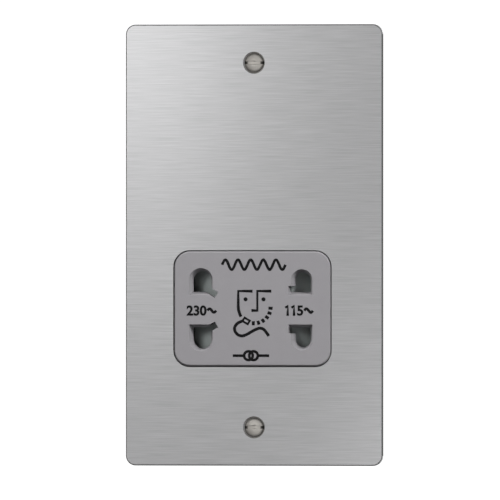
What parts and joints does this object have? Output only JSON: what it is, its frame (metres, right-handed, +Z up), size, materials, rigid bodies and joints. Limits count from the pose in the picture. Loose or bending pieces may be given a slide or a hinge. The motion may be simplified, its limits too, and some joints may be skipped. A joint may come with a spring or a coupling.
{
  "type": "shaver socket",
  "caption": "Flat brushed-steel two-gang wall plate with a grey dual-voltage shaver outlet, sliding safety shutter and isolating transformer in a rear housing.",
  "frame": {"origin": "middle of the plate, halfway between the two fixing screws, on the wall plane that the back of the gasket lies on", "axes": "+X to the right as seen from the room, +Y into the wall, +Z up"},
  "size_m": [0.086, 0.0412, 0.146],
  "materials": {
    "brushed_plate": "fine horizontal brushing, satin",
    "gasket_foam": "closed-cell foam",
    "nickel_screw": "satin nickel plate",
    "face_moulding": "smooth satin moulding, grey",
    "shield_sheet": "matt sheet",
    "zinc_fastener": "bright zinc plate",
    "shutter_moulding": "moulded, slightly darker than the face",
    "spring_wire": "drawn spring wire",
    "carrier_moulding": "moulded, black",
    "contact_bronze": "phosphor bronze strip",
    "circuit_board": "paper laminate, tan",
    "terminal_moulding": "moulded, pale grey",
    "terminal_brass": "turned and drilled",
    "terminal_screw_steel": "zinc plate",
    "cutout_coating": "dipped coating, ochre",
    "tinned_tag": "tinned brass",
    "earth_insulation": "soft insulation, green and yellow",
    "core_steel": "varnished sheet stack",
    "bobbin_moulding": "moulded, off-white",
    "enamelled_copper": "enamelled copper wire",
    "winding_tape": "polyester film tape, amber",
    "primary_insulation": "soft insulation, red",
    "secondary_insulation": "soft insulation, black",
    "housing_moulding": "moulded with a fine grain, graphite"
  },
  "bodies": {
    "socket": {"front_plate": "brushed_plate", "wall_gasket": "gasket_foam", "fixing_screws": "nickel_screw", "socket_face": "face_moulding", "front_shield": "shield_sheet", "stud_nuts": "zinc_fastener", "stud_washers": "zinc_fastener", "shutter_spring_left": "spring_wire", "shutter_spring_right": "spring_wire", "contact_carrier": "carrier_moulding", "contact_230_upper": "contact_bronze", "contact_230_lower": "contact_bronze", "contact_115_upper": "contact_bronze", "contact_115_lower": "contact_bronze", "carrier_screws": "zinc_fastener", "main_board": "circuit_board", "terminal_block": "terminal_moulding", "live_terminal": "terminal_brass", "neutral_terminal": "terminal_brass", "earth_terminal": "terminal_brass", "terminal_screws": "terminal_screw_steel", "thermal_cutout": "cutout_coating", "earth_tag": "tinned_tag", "earth_lead": "earth_insulation", "core_e_stack": "core_steel", "core_i_stack": "core_steel", "bobbin": "bobbin_moulding", "primary_winding": "enamelled_copper", "secondary_winding": "enamelled_copper", "winding_tape": "winding_tape", "core_screws": "zinc_fastener", "primary_leads": "primary_insulation", "secondary_leads": "secondary_insulation", "rear_housing": "housing_moulding"},
    "shutter": {"shutter": "shutter_moulding"}
  },
  "joints": [
    {"name": "shutter_slide", "type": "slide", "parent": "socket", "child": "shutter", "axis": [1, 0, 0], "range_m": [-0.0075, 0.0075], "stiffness_N_per_m": 150, "deforming": ["shutter_spring_left", "shutter_spring_right"]}
  ]
}
